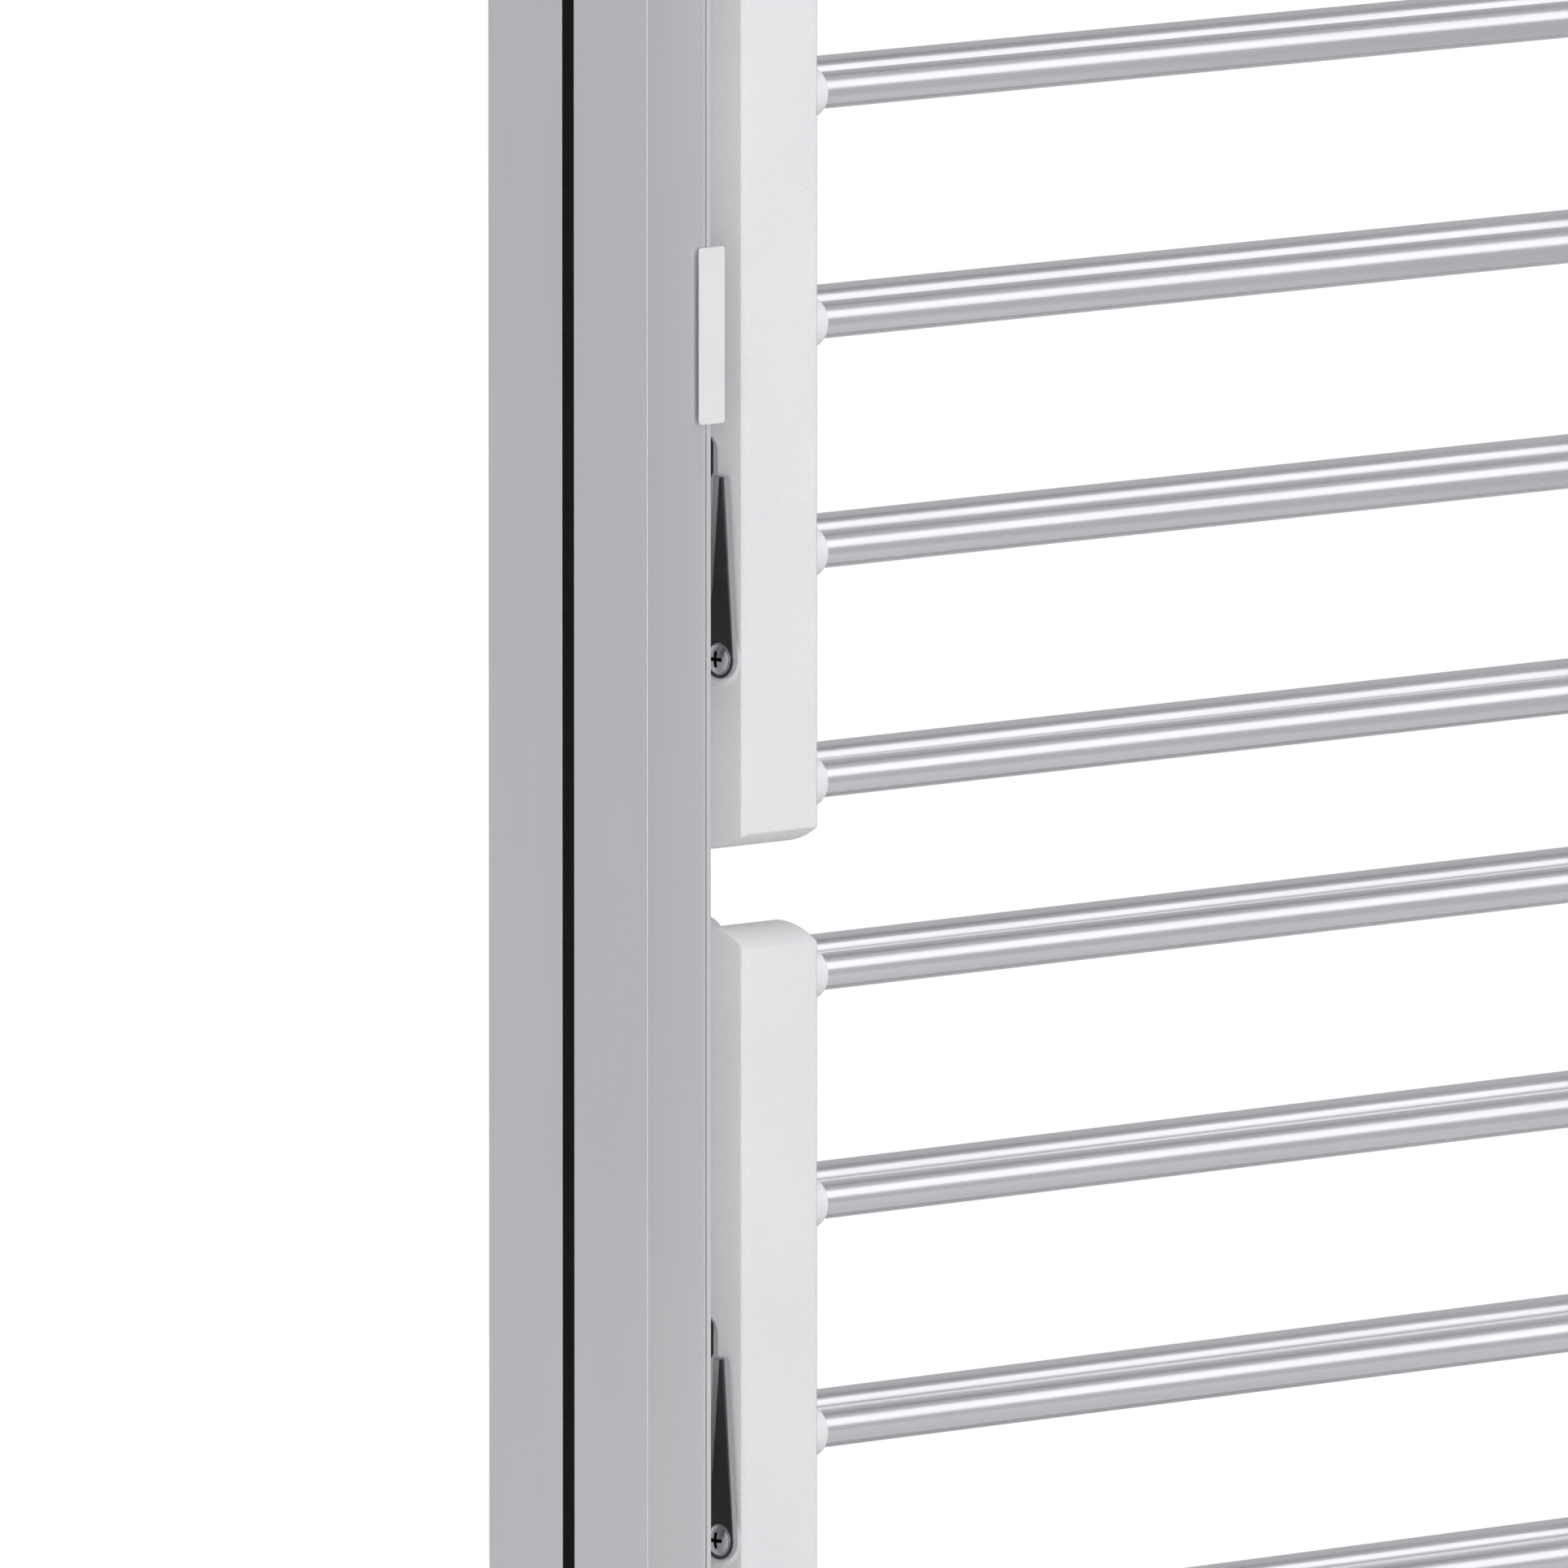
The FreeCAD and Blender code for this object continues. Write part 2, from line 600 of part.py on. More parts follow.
def make_front_shell(label, bank, right):
    """Front half of a gallery: a box with curved ends, open at the back."""
    body = new_body(label)
    section = new_sketch(body, "YZ_Plane", label + "_section")
    corners, radius = shell_corners(bank.height, d.dome_drop, 0, d.gallery_split,
                                    d.dome_fall)
    corners[0] = (corners[0][0], corners[0][1], (radius, -1))
    outline(section, corners)
    solid = pad(body, section, d.gallery_width, label + "_block")
    doc.recompute()

    outer_side = values["gallery_width"] if right else 0.0
    front_edges = []
    for number, edge in enumerate(solid.Shape.Edges, start=1):
        box = edge.BoundBox
        on_outer_side = abs(box.XMin - outer_side) < 1e-6 and box.XLength < 1e-6
        if box.YMax < 1e-6 and box.ZLength > 20 and on_outer_side:
            front_edges.append("Edge%d" % number)
    chamfer = body.newObject("PartDesign::Chamfer", label + "_front_edges")
    chamfer.Base = (solid, front_edges)
    bind(chamfer, "Size", d.gallery_chamfer)
    doc.recompute()

    cavity = new_sketch(body, "YZ_Plane", label + "_cavity", d.gallery_wall)
    inner, radius = shell_corners(bank.height, d.dome_inner_drop, d.gallery_wall,
                                  d.gallery_split + 1, d.back_short + d.back_corner + 1)
    inner[0] = (inner[0][0], inner[0][1], (radius, -1))
    outline(cavity, inner)
    pocket(body, cavity, d.gallery_width - d.gallery_wall * 2, label + "_hollow")

    journal = new_sketch(body, "YZ_Plane", label + "_journal",
                         0 if right else d.gallery_width)
    circle(journal, d.axis_depth, d.end_low, d.journal_radius + d.running_gap)
    hole = pocket(body, journal, d.gallery_wall + 1, label + "_journal_hole", forwards=right)
    pattern_up(body, hole, d.bar_pitch, bank.bars, label + "_journal_holes")

    if not right:
        lever_level = d.end_low + d.lever_rise
        boss = body.newObject("PartDesign::AdditiveCone", label + "_pivot_boss")
        bind(boss, "Radius1", d.boss_radius + d.boss_flare)
        bind(boss, "Radius2", d.boss_radius)
        bind(boss, "Height", d.boss_height)
        boss.Placement = FreeCAD.Placement(Vec(0, 0, 0), FreeCAD.Rotation(Vec(0, 1, 0), -90))
        place(boss, 0, d.axis_depth + d.boss_shift, lever_level)
        backing = new_sketch(body, "YZ_Plane", label + "_backing", 1)
        scoop_y = d.scoop_setback
        scoop_z = lever_level + d.scoop_rise
        wide = d.scoop_radius + d.gallery_wall
        rectangle(backing, scoop_y - wide, scoop_z - d.scoop_half - wide,
                  scoop_y + wide, scoop_z + d.scoop_half + wide)
        pad(body, backing, d.scoop_depth + 0.8, label + "_scoop_backing")
        scoop = new_sketch(body, "YZ_Plane", label + "_scoop")
        low = scoop_z - d.scoop_half
        high = scoop_z + d.scoop_half
        outline(scoop, [
            (scoop_y - d.scoop_radius, low, (d.scoop_radius * 1.0001, -1)),
            (scoop_y + d.scoop_radius, low),
            (scoop_y + d.scoop_radius, high, (d.scoop_radius * 1.0001, -1)),
            (scoop_y - d.scoop_radius, high),
        ])
        pocket(body, scoop, d.scoop_depth, label + "_finger_scoop")
        shaft = new_sketch(body, "YZ_Plane", label + "_shaft", -d.boss_height)
        circle(shaft, d.axis_depth, lever_level, d.shaft_radius + d.running_gap)
        pocket(body, shaft, d.gallery_wall + d.boss_height + 1, label + "_shaft_hole")

    fixing = new_sketch(body, "YZ_Plane", label + "_fixing", d.gallery_width if right else 0)
    for level in (d.fix_end, bank.height - d.fix_end):
        circle(fixing, d.shell_fix, level, d.screw_radius + d.screw_play)
    pocket(body, fixing, d.gallery_wall + 1, label + "_fixing_holes", forwards=not right)
    place(body, right_gallery if right else left_gallery, front, bank.foot)
    return body


def make_back_shell(label, bank, right):
    """Back half of a gallery, open towards the front half, with rounded ends."""
    body = new_body(label)
    section = new_sketch(body, "YZ_Plane", label + "_section")
    low = d.back_short
    high = bank.height - d.back_short
    rectangle(section, 0, low, d.back_depth, high)
    solid = pad(body, section, d.gallery_width, label + "_block")
    doc.recompute()
    edges = []
    for number, edge in enumerate(solid.Shape.Edges, start=1):
        if edge.BoundBox.XLength > 20:
            edges.append("Edge%d" % number)
    rounds = body.newObject("PartDesign::Fillet", label + "_rounds")
    rounds.Base = (solid, edges)
    bind(rounds, "Radius", d.back_corner)
    cavity = new_sketch(body, "YZ_Plane", label + "_cavity", d.gallery_wall)
    rectangle(cavity, -1, low + d.back_corner, d.back_depth - d.gallery_wall,
              high - d.back_corner)
    pocket(body, cavity, d.gallery_width - d.gallery_wall * 2, label + "_hollow")
    fixing = new_sketch(body, "YZ_Plane", label + "_fixing", d.gallery_width if right else 0)
    for level in (d.fix_end, bank.height - d.fix_end):
        circle(fixing, d.back_fix - d.gallery_split, level, d.screw_radius + d.screw_play)
    pocket(body, fixing, d.gallery_wall + 1, label + "_fixing_holes", forwards=not right)
    place(body, right_gallery if right else left_gallery, front + d.gallery_split, bank.foot)
    return body


def make_channel(label, right):
    """Hollow mounting channel between a jamb and its two galleries."""
    body = new_body(label)
    foot = lower.foot + d.channel_short
    height = (upper.foot + upper.height - d.channel_short) - foot
    section = new_sketch(body, "XY_Plane", label + "_section")
    rectangle(section, 0, 0, d.side_gap, d.channel_depth)
    pad(body, section, height, label + "_length")
    room = new_sketch(body, "XY_Plane", label + "_room")
    rectangle(room, d.channel_wall, d.channel_wall, d.side_gap - d.channel_wall,
              d.channel_depth - d.channel_wall)
    pocket(body, room, height, label + "_hollow")
    to_jamb = new_sketch(body, "YZ_Plane", label + "_to_jamb", d.side_gap if right else 0)
    for level in channel_levels():
        circle(to_jamb, d.channel_depth / 2, level - foot, d.screw_radius + d.screw_play)
    pocket(body, to_jamb, d.channel_wall + 1, label + "_jamb_holes", forwards=not right)
    drive = new_sketch(body, "YZ_Plane", label + "_drive", 0 if right else d.side_gap)
    for level in channel_levels():
        circle(drive, d.channel_depth / 2, level - foot, d.access_radius)
    pocket(body, drive, d.channel_wall + 1, label + "_drive_holes", forwards=right)
    to_shell = new_sketch(body, "YZ_Plane", label + "_to_shell", 0 if right else d.side_gap)
    for bank in BANKS:
        for level in (d.fix_end, bank.height - d.fix_end):
            for line in (d.shell_fix, d.back_fix):
                circle(to_shell, line - d.channel_front, bank.foot + level - foot,
                       d.screw_radius + d.screw_play)
    pocket(body, to_shell, d.channel_wall + 1, label + "_shell_holes", forwards=right)
    place(body, right_gallery + d.gallery_width if right else d.profile_width - half_width,
          front + d.channel_front, foot)
    return body


# ---------------------------------------------------------------- bars and hubs
def make_bar(label, level):
    """Twin-tube bar: two equal tubes joined by a flat web, turning on the front tube's axis."""
    body = new_body(label)
    tubes = new_sketch(body, "YZ_Plane", label + "_front_tube")
    circle(tubes, 0, 0, d.tube_radius)
    pad(body, tubes, bar_length, label + "_front")
    web = new_sketch(body, "YZ_Plane", label + "_web")
    rectangle(web, 0, -(d.web_thickness / 2), d.tube_spacing, d.web_thickness / 2)
    pad(body, web, bar_length, label + "_middle")
    rear = new_sketch(body, "YZ_Plane", label + "_rear_tube")
    circle(rear, d.tube_spacing, 0, d.tube_radius)
    pad(body, rear, bar_length, label + "_rear")
    bores = new_sketch(body, "YZ_Plane", label + "_bores")
    circle(bores, 0, 0, d.tube_bore)
    circle(bores, d.tube_spacing, 0, d.tube_bore)
    pocket(body, bores, bar_length, label + "_hollow")
    place(body, bar_left, axis_y, level)
    return body


def make_hub(label, level, right):
    """Hub turned about X: journal in the gallery wall, disc outside it, spigot in the bar.

    The left hub carries the eccentric pin that the link bar drives.
    """
    body = new_body(label)
    disc_start = d.journal_length + d.hub_float
    disc_end = d.journal_length + d.hub_face
    profile = new_sketch(body, "XY_Plane", label + "_profile")
    outline(profile, [
        (0, 0),
        (disc_end + d.spigot_length, 0),
        (disc_end + d.spigot_length, d.spigot_radius),
        (disc_end, d.spigot_radius),
        (disc_end, d.hub_radius - d.hub_bevel),
        (disc_end - d.hub_bevel, d.hub_radius),
        (disc_start, d.hub_radius),
        (disc_start, d.journal_radius),
        (0, d.journal_radius),
    ])
    turn = body.newObject("PartDesign::Revolution", label + "_turned")
    turn.Profile = profile
    turn.ReferenceAxis = (profile, ["H_Axis"])
    turn.Angle = 360.0
    if not right:
        pin = new_sketch(body, "YZ_Plane", label + "_pin")
        circle(pin, pin_y, pin_z, d.pin_radius)
        pad(body, pin, d.pin_length, label + "_drive_pin", backwards=True)
        place(body, left_gallery + d.gallery_width - d.journal_length, axis_y, level)
    else:
        body.Placement = FreeCAD.Placement(Vec(0, 0, 0), FreeCAD.Rotation(Vec(0, 0, 1), 180))
        place(body, right_gallery + d.journal_length, axis_y, level)
    return body


pin_y = Size(values["pin_throw"] * math.cos(math.radians(values["pin_angle"])),
             "(dims.pin_throw * cos(dims.pin_angle * 1 deg))")
pin_z = Size(-values["pin_throw"] * math.sin(math.radians(values["pin_angle"])),
             "(0 - dims.pin_throw * sin(dims.pin_angle * 1 deg))")


def make_link(label, bank):
    """Flat link bar that ties the lever's crank pin to every hub pin of its bank."""
    body = new_body(label)
    half = d.link_width / 2
    top = d.bar_pitch * (bank.bars - 1)
    section = new_sketch(body, "YZ_Plane", label + "_section")
    outline(section, [
        (-half, size(0), (half * 1.0001, -1)),
        (half, size(0)),
        (half, top, (half * 1.0001, -1)),
        (-half, top),
    ])
    pad(body, section, d.link_thickness, label + "_plate")
    eye = new_sketch(body, "YZ_Plane", label + "_eye")
    circle(eye, 0, 0, d.pin_radius + d.running_gap)
    hole = pocket(body, eye, d.link_thickness, label + "_first_eye")
    pattern_up(body, hole, d.bar_pitch, bank.bars, label + "_eyes")
    crank = new_sketch(body, "YZ_Plane", label + "_crank_eye")
    circle(crank, 0, d.lever_rise, d.pin_radius + d.running_gap)
    pocket(body, crank, d.link_thickness, label + "_lever_eye")
    place(body, left_gallery + d.link_inset, axis_y + pin_y, bank.first_axis + pin_z)
    return body


# ---------------------------------------------------------------- lever handle
arm_inner = -(d.boss_height + d.washer_gap + d.washer_thickness)
arm_outer = arm_inner - d.lever_thickness


def lever_outline(sketch, inset):
    """Round lower end tangent to two sides that taper to a square-cut tip."""
    radius = d.lever_radius - inset
    half = d.lever_tip / 2 - inset
    tip = d.lever_length - inset
    slope = math.asin((radius.value - half.value) / tip.value)
    touch = Vec(radius.value * math.cos(slope), radius.value * math.sin(slope), 0)
    right_side = sketch.addGeometry(
        Part.LineSegment(touch, Vec(half.value, tip.value, 0)), False)
    end = sketch.addGeometry(
        Part.LineSegment(Vec(half.value, tip.value, 0), Vec(-half.value, tip.value, 0)), False)
    left_side = sketch.addGeometry(
        Part.LineSegment(Vec(-half.value, tip.value, 0), Vec(-touch.x, touch.y, 0)), False)
    base = Part.Circle(Vec(0, 0, 0), Vec(0, 0, 1), radius.value)
    bottom = sketch.addGeometry(
        Part.ArcOfCircle(base, math.pi - slope, 2 * math.pi + slope), False)
    sketch.addConstraint(Sketcher.Constraint("Coincident", bottom, 3, -1, 1))
    rule = sketch.addConstraint(Sketcher.Constraint("Radius", bottom, radius.value))
    sketch.setExpression("Constraints[%d]" % rule, radius.text)
    sketch.addConstraint(Sketcher.Constraint("Coincident", right_side, 2, end, 1))
    sketch.addConstraint(Sketcher.Constraint("Coincident", end, 2, left_side, 1))
    pin_point(sketch, end, 1, half, tip)
    pin_point(sketch, end, 2, -half, tip)
    sketch.addConstraint(Sketcher.Constraint("Tangent", left_side, 2, bottom, 1))
    sketch.addConstraint(Sketcher.Constraint("Tangent", right_side, 1, bottom, 2))


def make_lever_arm(label, bank):
    body = new_body(label)
    shape = new_sketch(body, "YZ_Plane", label + "_shape", arm_outer)
    lever_outline(shape, size(0))
    pad(body, shape, d.lever_thickness, label + "_plate")
    half = d.square_side / 2
    socket = new_sketch(body, "YZ_Plane", label + "_socket", arm_outer)
    rectangle(socket, -half, -half, half, half)
    pocket(body, socket, d.lever_thickness, label + "_square")
    place(body, left_gallery, axis_y, bank.lever_axis)
    return body


def make_lever_cover(label, bank):
    """Faceted cover: a flat plate with a ridge point, cut away round the screw head."""
    body = new_body(label + "_plate_part")
    subparts.remove(body)
    shape = new_sketch(body, "YZ_Plane", label + "_shape", arm_outer - d.cover_edge)
    lever_outline(shape, d.cover_inset)
    pad(body, shape, d.cover_edge, label + "_plate")
    opening_sketch = new_sketch(body, "YZ_Plane", label + "_opening",
                                arm_outer - d.cover_edge)
    circle(opening_sketch, 0, 0, d.head_radius + 0.7)
    pocket(body, opening_sketch, d.cover_edge, label + "_screw_opening")
    doc.recompute()

    inset = values["cover_inset"] + values["facet_inset"]
    radius = values["lever_radius"] - inset
    half = values["lever_tip"] / 2 - inset
    tip = values["lever_length"] - inset
    start = values["facet_start"]
    slope = math.asin((radius - half) / tip)
    start_half = radius / math.cos(slope) - start * math.tan(slope)
    plate_face = arm_outer.value - values["cover_edge"]
    peak = Vec(arm_outer.value - values["cover_ridge"], values["ridge_offset"],
               values["ridge_height"])
    step = values["facet_step"]
    crest = values["cover_ridge"] - values["cover_edge"]
    corners = [
        (-half, tip, 0.8 * crest),
        (values["tip_flat"] - half, tip, 0.95 * crest),
        (half, tip, step),
        (start_half, start, step),
        (-1.1, start, step),
        (-3.8, start, step),
        (-start_half, start, step),
    ]
    low_ring = [Vec(plate_face + 0.3, y, z) for y, z, rise in corners]
    high_ring = [Vec(plate_face - rise, y, z) for y, z, rise in corners]
    faces = [Part.Face(Part.makePolygon(low_ring + [low_ring[0]]))]
    for index in range(len(corners)):
        after = (index + 1) % len(corners)
        side = [low_ring[index], low_ring[after], high_ring[after], high_ring[index]]
        faces.append(Part.Face(Part.makePolygon(side + [side[0]])))
        facet = [high_ring[index], high_ring[after], peak]
        faces.append(Part.Face(Part.makePolygon(facet + [facet[0]])))
    facets = Part.makeSolid(Part.makeShell(faces))
    if facets.Volume < 0:
        facets.reverse()
    ridge = doc.addObject("Part::Feature", label + "_facets")
    ridge.Shape = facets
    cover = fuse(label + "_fused", [body, ridge])
    place(cover, left_gallery, axis_y, bank.lever_axis)
    return register(cover, label)


def make_lever_washer(label, bank):
    ring = rod(label + "_disc", arm_inner, 0, 0, d.washer_radius, d.washer_thickness)
    hole = rod(label + "_hole", arm_inner - 1, 0, 0, d.shaft_radius + 0.02,
               d.washer_thickness + 2)
    washer = cut(label + "_ring", ring, hole)
    place(washer, left_gallery, axis_y, bank.lever_axis)
    return register(washer, label)


def make_lever_shaft(label, bank):
    """Shaft through the gallery wall with its crank disc, crank pin and square drive."""
    crank_start = d.link_inset - 1 - d.crank_thickness
    half = d.square_side / 2
    parts = [
        rod(label + "_journal", arm_inner, 0, 0, d.shaft_radius, crank_start - arm_inner),
        rod(label + "_collar", d.gallery_wall + 0.3, 0, 0, d.collar_radius, 2.2),
        rod(label + "_crank", crank_start, 0, 0, d.crank_radius, d.crank_thickness),
        rod(label + "_pin", d.link_inset - 1, pin_y, pin_z, d.pin_radius, d.pin_length),
        block(label + "_square", arm_outer, -half, -half, d.lever_thickness, d.square_side,
              d.square_side),
    ]
    solid = fuse(label + "_solid", parts)
    bore = rod(label + "_bore", arm_outer - 1, 0, 0, d.lever_screw_radius + d.screw_play,
               d.lever_screw_length + 3)
    shaft = cut(label + "_bored", solid, bore)
    place(shaft, left_gallery, axis_y, bank.lever_axis)
    return register(shaft, label)


def make_lever_screw(label, bank):
    """Pan-head screw turned about X, with a cross recess in its head."""
    body = new_body(label)
    profile = new_sketch(body, "XY_Plane", label + "_profile")
    crown = (d.head_radius * d.head_radius / (d.head_height - d.head_rim)
             + (d.head_height - d.head_rim)) / 2
    rim = d.head_height - d.head_rim
    outline(profile, [
        (size(0), size(0)),
        (d.head_height + d.lever_screw_length, size(0)),
        (d.head_height + d.lever_screw_length, d.lever_screw_radius),
        (d.head_height, d.lever_screw_radius),
        (d.head_height, d.head_radius),
        (rim, d.head_radius, (crown, -1)),
    ])
    turn = body.newObject("PartDesign::Revolution", label + "_turned")
    turn.Profile = profile
    turn.ReferenceAxis = (profile, ["H_Axis"])
    turn.Angle = 360.0
    doc.recompute()
    cross = new_sketch(body, "YZ_Plane", label + "_cross")
    reach = d.recess_reach
    slot = d.recess_width / 2
    outline(cross, [
        (-slot, -reach), (slot, -reach), (slot, -slot), (reach, -slot),
        (reach, slot), (slot, slot), (slot, reach), (-slot, reach),
        (-slot, slot), (-reach, slot), (-reach, -slot), (-slot, -slot),
    ])
    pocket(body, cross, d.recess_depth, label + "_recess")
    place(body, left_gallery + arm_outer - d.head_height, axis_y, bank.lever_axis)
    return body


# ---------------------------------------------------------------- clips and fasteners
def make_clip(label, right):
    """Screen clip: a rounded plate over the jamb's lip, its foot and the hook behind the lip."""
    body = new_body(label)
    plate = new_sketch(body, "XZ_Plane", label + "_plate_shape",
                       d.clip_standoff)
    rectangle(plate, 0, 0, d.clip_width, d.clip_height)
    solid = pad(body, plate, d.clip_plate, label + "_plate")
    doc.recompute()
    edges = []
    for number, edge in enumerate(solid.Shape.Edges, start=1):
        box = edge.BoundBox
        if box.YLength > 0.5 and box.XLength < 1e-6 and box.ZLength < 1e-6:
            edges.append("Edge%d" % number)
    rounds = body.newObject("PartDesign::Fillet", label + "_corners")
    rounds.Base = (solid, edges)
    bind(rounds, "Radius", d.clip_corner)
    doc.recompute()
    grip = d.clip_width - d.clip_overhang
    foot = new_sketch(body, "XZ_Plane", label + "_foot_shape")
    if right:
        rectangle(foot, d.clip_overhang - d.clip_hook, 2, d.clip_width - d.clip_relief,
                  d.clip_height - 2)
    else:
        rectangle(foot, d.clip_relief, 2, grip + d.clip_hook, d.clip_height - 2)
    pad(body, foot, d.clip_standoff, label + "_foot")
    hook = new_sketch(body, "XZ_Plane", label + "_hook_shape")
    if right:
        rectangle(hook, d.clip_overhang - d.clip_hook, 6, d.clip_overhang, d.clip_height - 6)
    else:
        rectangle(hook, grip, 6, grip + d.clip_hook, d.clip_height - 6)
    pad(body, hook, d.clip_grip, label + "_hook", backwards=True)
    start = half_width - d.profile_width - d.clip_overhang
    place(body, start if right else -start - d.clip_width, front, d.clip_rise)
    return body


def screw_solid(length):
    """A self-tapping screw along +X, its head seated at x = 0, with a slotted cross recess."""
    head = Part.makeCylinder(values["screw_head_radius"], values["screw_head_height"],
                             Vec(-values["screw_head_height"], 0, 0), Vec(1, 0, 0))
    edges = []
    for edge in head.Edges:
        if edge.BoundBox.XLength < 1e-6 and edge.BoundBox.XMax < -1:
            edges.append(edge)
    head = head.makeFillet(1.2, edges)
    shank = Part.makeCylinder(values["screw_radius"], length - 3, Vec(0, 0, 0), Vec(1, 0, 0))
    point = Part.makeCone(values["screw_radius"], 0.4, 3, Vec(length - 3, 0, 0), Vec(1, 0, 0))
    screw = head.fuse([shank, point])
    for wide, tall in ((5.0, 1.2), (1.2, 5.0)):
        recess = Part.makeBox(1.6, wide, tall,
                              Vec(-values["screw_head_height"], -wide / 2, -tall / 2))
        screw = screw.cut(recess)
    return screw.removeSplitter()


def screw_group(label, solid, seats):
    """Copies of one screw at (x, y, z, towards +X or -X)."""
    copies = []
    for x, y, z, forwards in seats:
        copy = solid.copy()
        turn = FreeCAD.Rotation(Vec(0, 0, 1), 0 if forwards else 180)
        copy.Placement = FreeCAD.Placement(Vec(x, y, z), turn)
        copies.append(copy)
    item = doc.addObject("Part::Feature", label + "_group")
    item.Shape = Part.makeCompound(copies)
    return register(item, label)


def make_corner_screws():
    inner = half_width.value - values["profile_width"] + values["frame_wall"]
    seats = []
    for line in (values["port_front"], values["port_rear"]):
        for level in (values["profile_width"] / 2,
                      values["frame_height"] - values["profile_width"] / 2):
            seats.append((-inner, front.value + line, level, True))
            seats.append((inner, front.value + line, level, False))
    return screw_group("corner_screws", screw_solid(values["screw_length"]), seats)


def make_gallery_screws():
    """Screws from inside each gallery into its channel, and from each channel into its jamb."""
    seats = []
    shell_seat = -left_gallery.value - values["gallery_wall"]
    for bank in BANKS:
        for level in (values["fix_end"], bank.height.value - values["fix_end"]):
            for line in (values["shell_fix"], values["back_fix"]):
                y = front.value + line
                z = bank.foot.value + level
                seats.append((-shell_seat, y, z, False))
                seats.append((shell_seat, y, z, True))
    jamb_seat = half_width.value - values["profile_width"] - values["channel_wall"]
    for level in channel_levels():
        y = front.value + channel_line().value
        seats.append((-jamb_seat, y, level.value, False))
        seats.append((jamb_seat, y, level.value, True))
    return screw_group("gallery_screws", screw_solid(values["tap_length"]), seats)


# ---------------------------------------------------------------- build
make_jamb("jamb_left", False)
make_jamb("jamb_right", True)
make_rail("sill", False)
make_rail("head", True)
make_frame_seals()
make_jamb_plugs()
make_scoop_pads()
make_channel("mounting_channel_left", False)
make_channel("mounting_channel_right", True)
make_clip("screen_clip_left", False)
make_clip("screen_clip_right", True)
for bank in BANKS:
    make_front_shell("gallery_front_left_" + bank.name, bank, False)
    make_front_shell("gallery_front_right_" + bank.name, bank, True)
    make_back_shell("gallery_back_left_" + bank.name, bank, False)
    make_back_shell("gallery_back_right_" + bank.name, bank, True)
    make_lever_arm("lever_arm_" + bank.name, bank)
    make_lever_cover("lever_cover_" + bank.name, bank)
    make_lever_screw("lever_screw_" + bank.name, bank)
    make_lever_shaft("lever_shaft_" + bank.name, bank)
    make_lever_washer("lever_washer_" + bank.name, bank)
    make_link("link_bar_" + bank.name, bank)
    for number in range(1, bank.bars + 1):
        level = bank.first_axis + d.bar_pitch * (number - 1)
        make_bar("bar_%s_%d" % (bank.name, number), level)
        make_hub("hub_drive_%s_%d" % (bank.name, number), level, False)
        make_hub("hub_idle_%s_%d" % (bank.name, number), level, True)
make_corner_screws()
make_gallery_screws()
doc.recompute()

# ---------------------------------------------------------------- check and write
faults = []
for item in doc.Objects:
    if "Invalid" in item.State or "Error" in item.State:
        faults.append("%s: %s" % (item.Label, item.State))
for item in subparts:
    if item.Shape.isNull() or not item.Shape.isValid():
        faults.append("%s: bad shape" % item.Label)
if faults:
    print("\n".join(faults))
    sys.exit(1)

os.makedirs("parts", exist_ok=True)
for item in subparts:
    item.Shape.exportStep("parts/%s.step" % item.Label)
print("%d nodes written" % len(subparts))
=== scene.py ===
import json
import math

import bmesh
import bpy
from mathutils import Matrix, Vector


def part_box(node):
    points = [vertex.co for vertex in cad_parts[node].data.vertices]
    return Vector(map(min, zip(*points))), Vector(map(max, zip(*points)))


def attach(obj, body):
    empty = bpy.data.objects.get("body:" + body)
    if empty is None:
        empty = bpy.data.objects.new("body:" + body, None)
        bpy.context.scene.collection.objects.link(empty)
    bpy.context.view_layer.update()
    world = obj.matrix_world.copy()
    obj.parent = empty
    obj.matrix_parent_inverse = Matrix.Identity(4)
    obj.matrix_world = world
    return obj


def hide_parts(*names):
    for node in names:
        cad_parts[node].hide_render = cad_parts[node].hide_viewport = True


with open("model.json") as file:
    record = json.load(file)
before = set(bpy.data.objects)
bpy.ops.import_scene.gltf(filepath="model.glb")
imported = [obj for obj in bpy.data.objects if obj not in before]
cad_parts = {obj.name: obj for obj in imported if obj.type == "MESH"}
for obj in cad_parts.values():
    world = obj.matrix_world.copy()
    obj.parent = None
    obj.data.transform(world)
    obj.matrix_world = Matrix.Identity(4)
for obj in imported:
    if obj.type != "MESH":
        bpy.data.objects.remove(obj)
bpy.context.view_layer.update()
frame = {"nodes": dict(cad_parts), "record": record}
NODES = frame["nodes"]
BARS_IN_BANK = (("lower", 4), ("upper", 5))


# ---------------------------------------------------------------- materials

